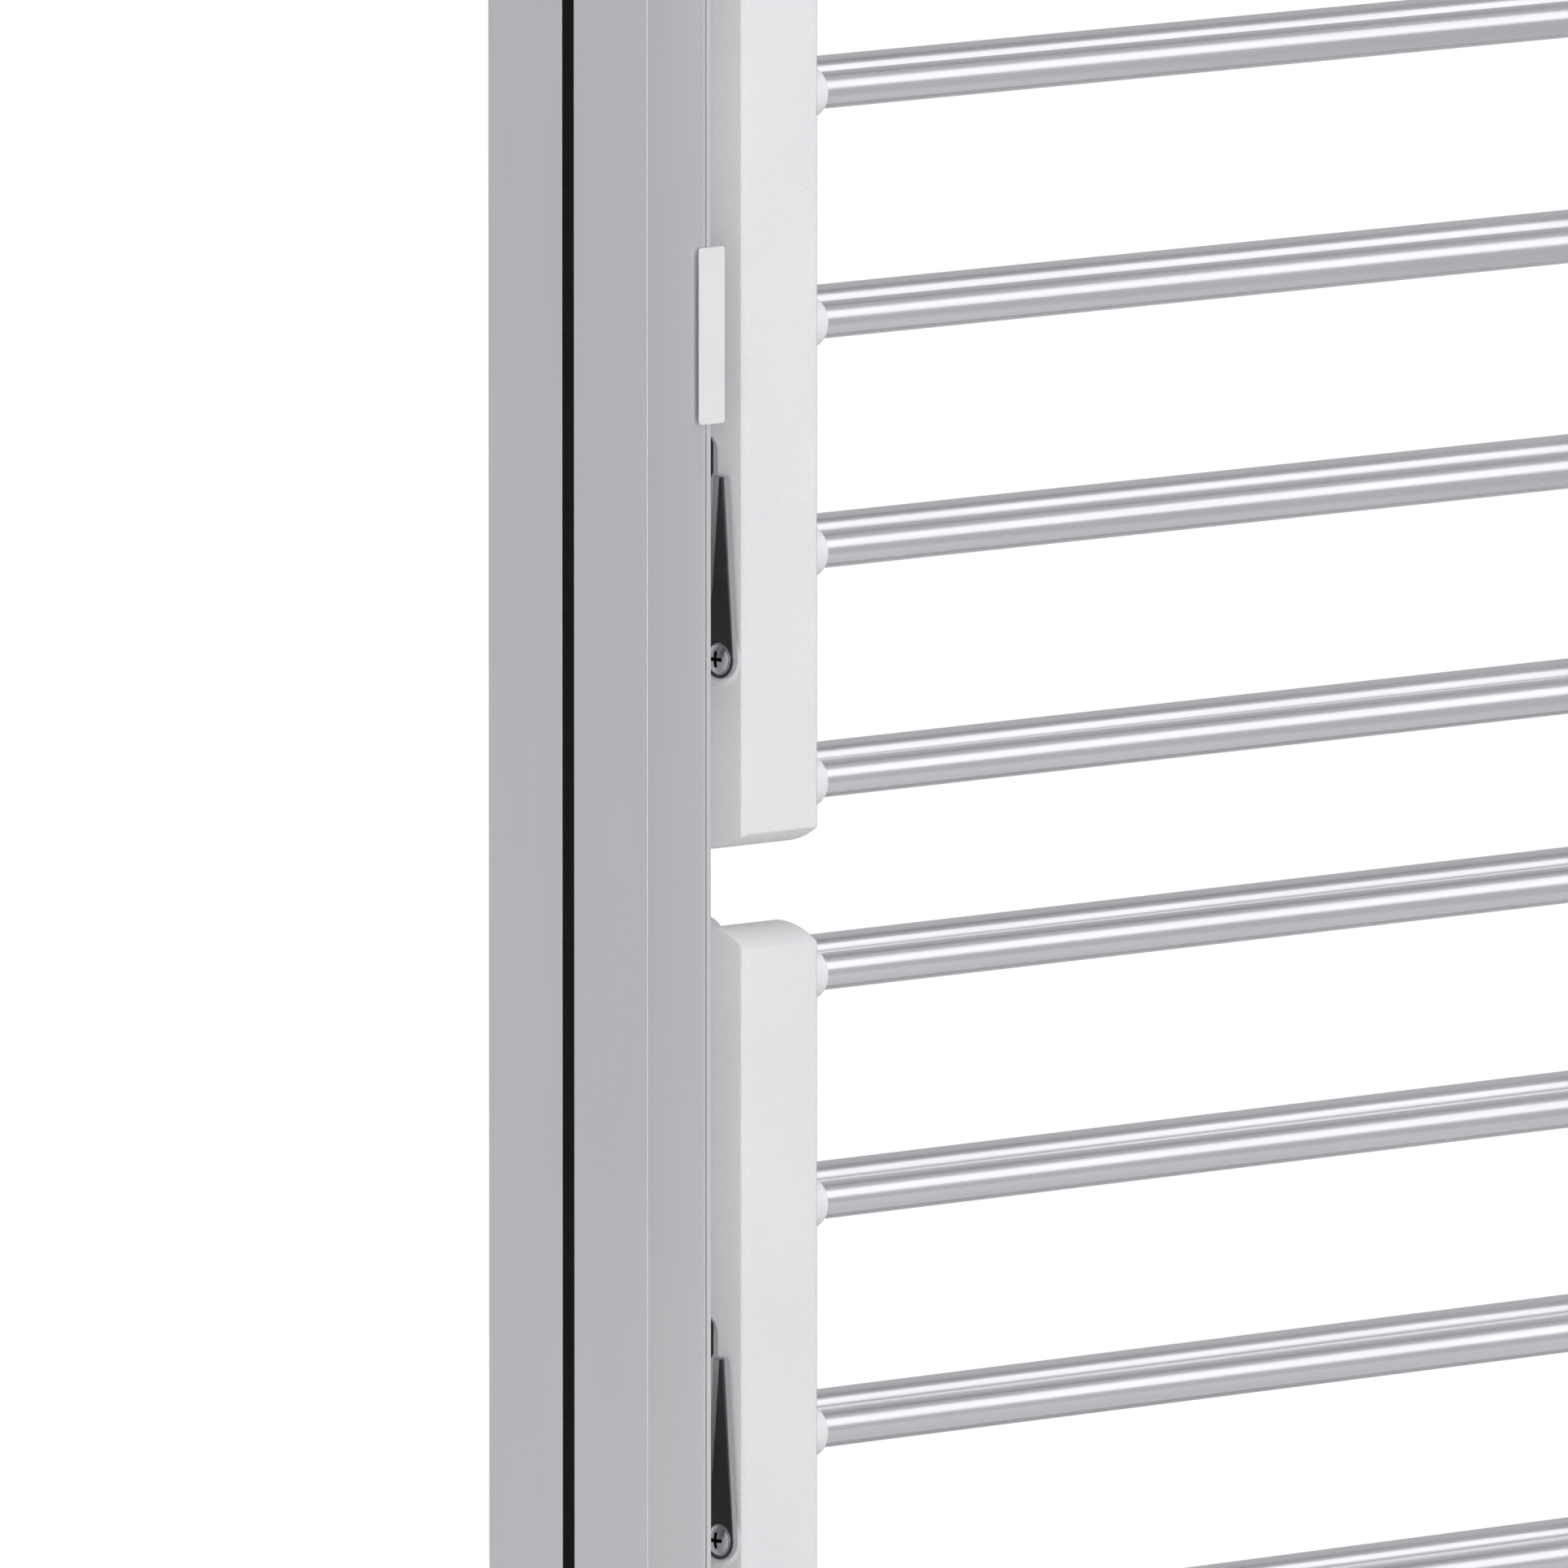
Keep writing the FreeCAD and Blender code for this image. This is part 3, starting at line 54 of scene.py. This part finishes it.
class Surface:
    """A Principled material whose variation is laid out on the part, in metres."""

    def __init__(self, name, metallic=0.0, roughness=0.5, ior=1.5):
        self.material = bpy.data.materials.new(name)
        self.material.use_nodes = True
        self.tree = self.material.node_tree
        self.shader = self.tree.nodes["Principled BSDF"]
        self.set("Metallic", metallic)
        self.set("Roughness", roughness)
        self.set("IOR", ior)
        self.place = self.tree.nodes.new("ShaderNodeTexCoord").outputs["Object"]
        self.normal = None

    def set(self, socket, value):
        self.shader.inputs[socket].default_value = value

    def link(self, output, target):
        self.tree.links.new(output, target)

    def stretched(self, stretch):
        """Coordinates multiplied per axis: a small number draws the pattern out along that axis."""
        mapping = self.tree.nodes.new("ShaderNodeMapping")
        mapping.inputs["Scale"].default_value = stretch
        self.link(self.place, mapping.inputs["Vector"])
        return mapping.outputs["Vector"]

    def noise(self, size, stretch=(1, 1, 1), detail=2.0):
        """Noise whose features are about size metres across."""
        node = self.tree.nodes.new("ShaderNodeTexNoise")
        node.inputs["Scale"].default_value = 1.0 / size
        node.inputs["Detail"].default_value = detail
        node.inputs["Roughness"].default_value = 0.5
        self.link(self.stretched(stretch), node.inputs["Vector"])
        return node.outputs["Fac"]

    def cells(self, size):
        """Rounded cells about size metres across."""
        node = self.tree.nodes.new("ShaderNodeTexVoronoi")
        node.feature = "SMOOTH_F1"
        node.inputs["Scale"].default_value = 1.0 / size
        node.inputs["Smoothness"].default_value = 0.6
        self.link(self.stretched((1, 1, 1)), node.inputs["Vector"])
        return node.outputs["Distance"]

    def span(self, value, low, high, start=0.3, end=0.7):
        """Maps start..end, by default a texture's middle range, to low..high."""
        node = self.tree.nodes.new("ShaderNodeMapRange")
        sockets = ("From Min", "From Max", "To Min", "To Max")
        for socket, number in zip(sockets, (start, end, low, high)):
            node.inputs[socket].default_value = number
        self.link(value, node.inputs["Value"])
        return node.outputs["Result"]

    def calc(self, operation, first, second=None):
        """One arithmetic node; either operand may be an output or a number."""
        node = self.tree.nodes.new("ShaderNodeMath")
        node.operation = operation
        for socket, operand in zip(node.inputs, (first, second)):
            if operand is None:
                continue
            if isinstance(operand, (int, float)):
                socket.default_value = operand
            else:
                self.link(operand, socket)
        return node.outputs["Value"]

    def axes(self):
        """The X, Y and Z coordinates as three outputs."""
        node = self.tree.nodes.new("ShaderNodeSeparateXYZ")
        self.link(self.place, node.inputs["Vector"])
        return [node.outputs[axis] for axis in "XYZ"]

    def ramp(self, value, stops):
        """A colour ramp through (position, colour) stops."""
        node = self.tree.nodes.new("ShaderNodeValToRGB")
        elements = node.color_ramp.elements
        elements[0].position = stops[0][0]
        elements[0].color = (*stops[0][1], 1.0)
        elements[1].position = stops[-1][0]
        elements[1].color = (*stops[-1][1], 1.0)
        for position, colour in stops[1:-1]:
            elements.new(position).color = (*colour, 1.0)
        self.link(value, node.inputs["Fac"])
        return node.outputs["Color"]

    def greys(self, value, stops):
        """A grey ramp through (position, brightness) stops."""
        return self.ramp(value, [(position, (level,) * 3) for position, level in stops])

    def colour(self, value, first, second):
        """Base colour runs from first to second over the texture's middle range."""
        tones = self.ramp(value, ((0.3, first), (0.7, second)))
        self.link(tones, self.shader.inputs["Base Color"])

    def combine(self, operation, value):
        """Multiplies the base colour by a value, or adds the value to it."""
        socket = self.shader.inputs["Base Color"]
        node = self.tree.nodes.new("ShaderNodeVectorMath")
        node.operation = operation
        self.link(socket.links[0].from_socket, node.inputs[0])
        self.link(value, node.inputs[1])
        self.link(node.outputs["Vector"], socket)

    def rough(self, value, low, high):
        """Roughness runs from low to high over the texture's middle range."""
        self.link(self.span(value, low, high), self.shader.inputs["Roughness"])

    def soften(self, radius):
        """Rounds the shading of sharp edges by a radius in metres."""
        node = self.tree.nodes.new("ShaderNodeBevel")
        node.samples = 8
        node.inputs["Radius"].default_value = radius
        self.normal = node.outputs["Normal"]
        self.link(self.normal, self.shader.inputs["Normal"])

    def bump(self, height, depth):
        """Adds relief depth metres deep on top of the relief already there."""
        node = self.tree.nodes.new("ShaderNodeBump")
        node.inputs["Distance"].default_value = depth
        node.inputs["Strength"].default_value = 1.0
        self.link(height, node.inputs["Height"])
        if self.normal is not None:
            self.link(self.normal, node.inputs["Normal"])
        self.normal = node.outputs["Normal"]
        self.link(self.normal, self.shader.inputs["Normal"])


def drawn_out(along, share):
    """A stretch that draws a pattern out along one axis."""
    return tuple(share if axis == along else 1.0 for axis in range(3))


def anodised(name, along, dark, light, low, high, depth, edge=0.0):
    """Satin anodised extrusion with faint die lines along one axis."""
    lines = drawn_out(along, 0.012)
    s = Surface(name, metallic=1.0)
    s.colour(s.noise(0.03, drawn_out(along, 0.15)), dark, light)
    s.rough(s.noise(0.0011, lines, detail=4.0), low, high)
    if edge:
        s.soften(edge)
    s.bump(s.noise(0.0007, lines, detail=3.0), depth)
    s.bump(s.noise(0.00022, detail=1.0), depth * 0.35)
    return s


# Painted shade and highlights, multiplied into a frame member's colour, over the way from its inner
# edge (0) to its outer side (1): painted shade in the hairline groove, a painted highlight on the
# edge beside it, painted shade darkening the front face outwards and painted light on the outer
# side.
FRAME_PAINTED_SHADE = (
    (0.0, 0.99), (0.06, 0.99),      # inner lip
    (0.067, 0.5), (0.082, 0.5),     # hairline groove
    (0.088, 0.98), (0.105, 0.97),   # bright edge beside the groove
    (0.125, 0.86), (0.985, 0.79),   # front face, darkening outwards
    (0.992, 0.92),                  # outer side
)


def frame_metal(name, along, across, middle, inner, outer):
    """Anodised frame member with painted shade and highlights; across is the axis over which the
    painted shade changes.
    """
    s = anodised(name, along, (0.97, 0.97, 0.98), (1.0, 1.0, 1.0), 0.38, 0.42, 0.000001, 0.0003)
    offset = s.calc("ABSOLUTE", s.calc("SUBTRACT", s.axes()[across], middle))
    share = s.span(offset, 0.0, 1.0, inner, outer)
    # Painted shade and highlights across the member, multiplied into the metal's colour.
    s.combine("MULTIPLY", s.greys(share, FRAME_PAINTED_SHADE))
    return s.material


def moulded(name, dark, light, low, high, edge, pebble=0.0, depth=0.0):
    """Moulded plastic with soft edges and, with a pebble size, a spark-eroded grain."""
    s = Surface(name, ior=1.46)
    s.colour(s.noise(0.05), dark, light)
    s.rough(s.noise(0.004), low, high)
    s.soften(edge)
    if pebble:
        s.bump(s.cells(pebble), depth)
        s.bump(s.noise(pebble * 0.7, detail=3.0), depth * 0.7)
    s.bump(s.noise(0.012), 0.00004)
    return s.material


def brushed(name, along, colour, low, high):
    """Brushed or rolled steel."""
    lines = drawn_out(along, 0.02)
    s = Surface(name, metallic=1.0)
    s.colour(s.noise(0.01), tuple(c * 0.93 for c in colour), colour)
    s.rough(s.noise(0.0006, lines, detail=4.0), low, high)
    s.bump(s.noise(0.0004, lines, detail=3.0), 0.000004)
    return s.material


RIDGE_FOOT = 0.0286         # the cover's ridge point above the lever axis
RIDGE_REACH = 0.00486       # the ridge line's distance in Y, extended down to the axis
RIDGE_SLOPE = 0.0822        # its approach to the lever's front edge per metre of height
TIP_HEIGHT = 0.072


def lever_cover():
    """Glossy black plastic; its rear facet beside the tip carries a painted reflection, a streaked
    grey that brightens towards the tip.
    """
    s = Surface("lever_black", ior=1.85)
    s.colour(s.noise(0.05), (0.006, 0.006, 0.0068), (0.01, 0.01, 0.0112))
    s.rough(s.noise(0.004), 0.14, 0.2)
    s.bump(s.cells(0.0006), 0.000002)
    s.bump(s.noise(0.012), 0.000006)

    arms = [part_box("lever_arm_" + bank) for bank, bars in BARS_IN_BANK]
    pivot_y = (arms[0][0][1] + arms[0][1][1]) / 2
    low_pivot, high_pivot = [low[2] + (high[1] - low[1]) / 2 for low, high in arms]
    along_x, along_y, along_z = s.axes()
    is_upper = s.calc("GREATER_THAN", along_z, (low_pivot + high_pivot) / 2)
    height = s.calc("SUBTRACT", s.calc("SUBTRACT", along_z, low_pivot),
                    s.calc("MULTIPLY", is_upper, high_pivot - low_pivot))
    ridge = s.calc("SUBTRACT", RIDGE_REACH, s.calc("MULTIPLY", height, RIDGE_SLOPE))
    behind = s.calc("SUBTRACT", s.calc("SUBTRACT", along_y, pivot_y), ridge)
    rear_facet = s.calc("MULTIPLY", s.calc("GREATER_THAN", behind, 0.0),
                        s.calc("GREATER_THAN", height, RIDGE_FOOT))
    # Painted reflection: a streaked grey added to the colour of the rear facet, brighter towards
    # the tip.
    streaks = s.span(s.noise(0.0007, (1, 1, 0.04), detail=3.0), 0.8, 1.2)
    grey = s.span(height, 0.07, 0.34, 0.03, TIP_HEIGHT)
    s.combine("ADD", s.calc("MULTIPLY", s.calc("MULTIPLY", grey, streaks), rear_facet))
    return s.material


RECESS_FLOOR = 0.0006       # least depth below the head's crown that counts as recess
RECESS_RADIUS = 0.0034


def chrome():
    """Polished screw chrome with painted shade making it nearly black inside the cross recess."""
    s = Surface("screw_chrome", metallic=1.0)
    s.colour(s.noise(0.004), (0.6, 0.6, 0.61), (0.68, 0.68, 0.69))
    s.rough(s.noise(0.0012, detail=3.0), 0.03, 0.07)
    s.bump(s.noise(0.0009, detail=3.0), 0.000002)

    boxes = [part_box("lever_screw_" + bank) for bank, bars in BARS_IN_BANK]
    low_screw, high_screw = [[(a + b) / 2 for a, b in zip(*box)] for box in boxes]
    crown = boxes[1][0][0]
    along_x, along_y, along_z = s.axes()
    across = s.calc("SUBTRACT", along_y, high_screw[1])
    rise = s.calc("MINIMUM",
                  s.calc("ABSOLUTE", s.calc("SUBTRACT", along_z, low_screw[2])),
                  s.calc("ABSOLUTE", s.calc("SUBTRACT", along_z, high_screw[2])))
    reach = s.calc("SQRT", s.calc("ADD", s.calc("MULTIPLY", across, across),
                                  s.calc("MULTIPLY", rise, rise)))
    # Painted shade: the chrome's colour is darkened to nearly black inside the cross recess.
    painted_recess_shade = s.calc("MULTIPLY", s.calc("GREATER_THAN", along_x, crown + RECESS_FLOOR),
                  s.calc("LESS_THAN", reach, RECESS_RADIUS))
    s.combine("MULTIPLY", s.greys(painted_recess_shade, ((0.0, 1.0), (1.0, 0.02))))
    return s.material


def painted_casting():
    """Satin silver paint on the lever's die casting."""
    s = Surface("lever_grey", metallic=0.6)
    s.colour(s.noise(0.0008, detail=3.0), (0.42, 0.42, 0.44), (0.5, 0.5, 0.52))
    s.rough(s.noise(0.003), 0.34, 0.44)
    s.bump(s.noise(0.0005, detail=2.0), 0.000008)
    return s.material


def rubber():
    """Matt black seal rubber, drawn out upwards."""
    s = Surface("seal_rubber", ior=1.45)
    s.set("Specular IOR Level", 0.12)
    s.colour(s.noise(0.006, detail=4.0), (0.0045, 0.0045, 0.005), (0.0075, 0.0075, 0.008))
    s.rough(s.noise(0.002, detail=3.0), 0.5, 0.7)
    s.bump(s.noise(0.0006, (1, 1, 0.05), detail=3.0), 0.00002)
    return s.material


frame_upright = frame_metal("frame_aluminium_upright", 2, 0, 0.0, 0.3637, 0.4)
frame_level = frame_metal("frame_aluminium_level", 0, 2, 0.445, 0.4087, 0.445)
bar_metal = anodised("bar_aluminium", 0, (0.83, 0.83, 0.84), (0.87, 0.87, 0.88),
                     0.22, 0.29, 0.0000012).material
channel_metal = anodised("channel_aluminium", 2, (0.8, 0.8, 0.8), (0.86, 0.86, 0.86),
                         0.3, 0.5, 0.000004).material

FINISH = {
    "frame_aluminium": frame_upright,
    "bar_aluminium": bar_metal,
    "gallery_white": moulded("gallery_white", (0.85, 0.85, 0.858), (0.88, 0.88, 0.884),
                             0.5, 0.62, 0.0014, 0.0007, 0.00015),
    "hub_white": moulded("hub_white", (0.86, 0.86, 0.868), (0.885, 0.885, 0.89),
                         0.3, 0.4, 0.0006),
    "clip_white": moulded("clip_white", (0.82, 0.82, 0.825), (0.85, 0.85, 0.855),
                          0.35, 0.45, 0.0004, 0.0004, 0.000006),
    "lever_grey": painted_casting(),
    "lever_black": lever_cover(),
    "washer_black": moulded("washer_black", (0.02, 0.02, 0.021), (0.03, 0.03, 0.031),
                            0.45, 0.6, 0.0002, 0.0008, 0.00001),
    "screw_chrome": chrome(),
    "screw_steel": brushed("screw_steel", 0, (0.66, 0.66, 0.64), 0.25, 0.4),
    "drive_steel": brushed("drive_steel", 2, (0.6, 0.6, 0.61), 0.28, 0.42),
    "seal_rubber": rubber(),
    "plug_black": moulded("plug_black", (0.02, 0.02, 0.021), (0.032, 0.032, 0.033),
                          0.5, 0.65, 0.0002, 0.0009, 0.00003),
    "channel_aluminium": channel_metal,
}
SLOT_OF = {part["node"]: part["material_slot"] for part in frame["record"]["subparts"]}
for name, node in NODES.items():
    finish = frame_level if name in ("sill", "head") else FINISH[SLOT_OF[name]]
    for place in node.material_slots:
        place.material = finish


# --------------------------------------------------------------------- bars

TUBE_SIDES = 144
TUBE_BORE = 0.0056
WEB_THICKNESS = 0.0022
END_CHAMFER = 0.00025
SHARP_ANGLE = math.radians(25.0)


def bar_section(mesh, x, inset, radius, front_y, rear_y, level):
    """One cross-section of a twin-tube bar, inset from its full size: two tubes, two bores."""
    outer = radius - inset
    bore = TUBE_BORE + inset
    reach = math.asin((WEB_THICKNESS / 2 - inset) / outer)
    sweep = 2 * math.pi - 2 * reach
    turns = [reach + sweep * k / TUBE_SIDES for k in range(TUBE_SIDES + 1)]

    def arc(centre_y, size):
        """An arc open towards the web; a negative size turns it about the tube's axis."""
        return [mesh.verts.new((x, centre_y + size * math.cos(t), level + size * math.sin(t)))
                for t in turns]

    return arc(front_y, outer), arc(rear_y, -outer), arc(front_y, bore), arc(rear_y, -bore)


def skin(mesh, first, second, closed):
    """Quads between two rows of vertices."""
    count = len(first) if closed else len(first) - 1
    for k in range(count):
        after = (k + 1) % len(first)
        mesh.faces.new((first[k], first[after], second[after], second[k]))


def build_bar(bank, number):
    """A hollow twin-tube extrusion, finely faceted, in place of the bar's CAD node."""
    node = "bar_%s_%d" % (bank, number)
    low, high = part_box(node)
    radius = (high[2] - low[2]) / 2
    level = (high[2] + low[2]) / 2
    front_y = low[1] + radius
    rear_y = high[1] - radius
    stations = ((low[0], END_CHAMFER), (low[0] + END_CHAMFER, 0.0),
                (high[0] - END_CHAMFER, 0.0), (high[0], END_CHAMFER))

    mesh = bmesh.new()
    rows = [bar_section(mesh, x, inset, radius, front_y, rear_y, level)
            for x, inset in stations]
    for before, after in zip(rows, rows[1:]):
        skin(mesh, before[0] + before[1], after[0] + after[1], True)
        skin(mesh, before[2], after[2], True)
        skin(mesh, before[3], after[3], True)
    for front, rear, front_bore, rear_bore in (rows[0], rows[-1]):
        skin(mesh, front, front_bore, False)
        skin(mesh, rear, rear_bore, False)
        mesh.faces.new((front[0], front_bore[0], front_bore[-1], front[-1]))
        mesh.faces.new((rear[0], rear_bore[0], rear_bore[-1], rear[-1]))
        mesh.faces.new((front[0], front[-1], rear[0], rear[-1]))
    bmesh.ops.recalc_face_normals(mesh, faces=mesh.faces)
    data = bpy.data.meshes.new(node + "_fine")
    mesh.to_mesh(data)
    mesh.free()
    data.shade_smooth()
    data.set_sharp_from_angle(angle=SHARP_ANGLE)
    data.materials.append(bar_metal)

    bar = bpy.data.objects.new(node + "_fine", data)
    bpy.context.scene.collection.objects.link(bar)
    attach(bar, "%s_bar_%d" % (bank, number))
    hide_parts(node)


for bank, count in BARS_IN_BANK:
    for number in range(1, count + 1):
        build_bar(bank, number)


# ------------------------------------------------------------------- studio

FLOOR_CENTRE = Vector((-1.35, -1.1, -0.0006))
FLOOR_RADIUS = 2.2
FLOOR_SIDES = 160

floor_mesh = bpy.data.meshes.new("floor")
build = bmesh.new()
bmesh.ops.create_circle(build, cap_ends=True, segments=FLOOR_SIDES, radius=FLOOR_RADIUS)
build.to_mesh(floor_mesh)
build.free()
floor = bpy.data.objects.new("floor", floor_mesh)
floor.location = FLOOR_CENTRE
bpy.context.scene.collection.objects.link(floor)
pale = Surface("floor_pale", roughness=0.6)
pale.colour(pale.noise(0.2, detail=4.0), (0.8, 0.8, 0.8), (0.83, 0.83, 0.83))
pale.rough(pale.noise(0.05), 0.55, 0.7)
floor_mesh.materials.append(pale.material)

# Each soft box: its direction from the aim point, distance, width, height and power.
AIM = Vector((-0.2, 0.0, 0.43))
SOFT_BOXES = (
    ("key", (0.715, -0.543, 0.44), 5.0, 3.8, 2.5, 21.5),
    ("fill", (-0.56, -0.81, 0.11), 4.0, 2.4, 2.4, 61.0),
    ("left", (-0.93, -0.36, -0.1), 4.0, 1.6, 1.6, 6.5),
    ("overhead", (0.0, -0.3, 0.95), 4.0, 2.4, 2.4, 29.0),
)
for name, direction, distance, width, height, power in SOFT_BOXES:
    data = bpy.data.lights.new(name, "AREA")
    data.shape = "RECTANGLE"
    data.size = width
    data.size_y = height
    data.energy = power
    light = bpy.data.objects.new(name, data)
    away = Vector(direction).normalized()
    light.location = AIM + away * distance
    light.rotation_mode = "QUATERNION"
    light.rotation_quaternion = away.to_track_quat("Z", "Y")
    light.visible_camera = False
    bpy.context.scene.collection.objects.link(light)

SURROUND_COLOUR = (0.985, 0.972, 1.02, 1.0)
SURROUND_STRENGTH = 0.487
BACKDROP_STRENGTH = 1.02


def background(tree, colour, strength):
    node = tree.nodes.new("ShaderNodeBackground")
    node.inputs["Color"].default_value = colour
    node.inputs["Strength"].default_value = strength
    return node.outputs["Background"]


# An even surround lights the part; the backdrop behind it is plain white.
world = bpy.data.worlds.new("studio")
bpy.context.scene.world = world
world.use_nodes = True
tree = world.node_tree
tree.nodes.clear()
out = tree.nodes.new("ShaderNodeOutputWorld")
mix = tree.nodes.new("ShaderNodeMixShader")
path = tree.nodes.new("ShaderNodeLightPath")
surround = background(tree, SURROUND_COLOUR, SURROUND_STRENGTH)
backdrop = background(tree, (1.0, 1.0, 1.0, 1.0), BACKDROP_STRENGTH)
tree.links.new(path.outputs["Is Camera Ray"], mix.inputs["Fac"])
tree.links.new(surround, mix.inputs[1])
tree.links.new(backdrop, mix.inputs[2])
tree.links.new(mix.outputs["Shader"], out.inputs["Surface"])

bpy.context.scene.view_settings.view_transform = "Standard"


# ------------------------------------------------------------------- camera

LENS_MM = 978.0
SENSOR_MM = 36.0
TARGET = Vector((-0.3218, -0.044, 0.4251))
LOOK = Vector((0.7151, 0.6906, -0.1080)).normalized()
DISTANCE = 16.97

camera_data = bpy.data.cameras.new("camera")
camera_data.lens = LENS_MM
camera_data.sensor_width = SENSOR_MM
camera_data.clip_start = 1.0
camera_data.clip_end = 100.0
camera = bpy.data.objects.new("camera", camera_data)
camera.location = TARGET - LOOK * DISTANCE
camera.rotation_mode = "QUATERNION"
camera.rotation_quaternion = LOOK.to_track_quat("-Z", "Y")
bpy.context.scene.collection.objects.link(camera)
bpy.context.scene.camera = camera
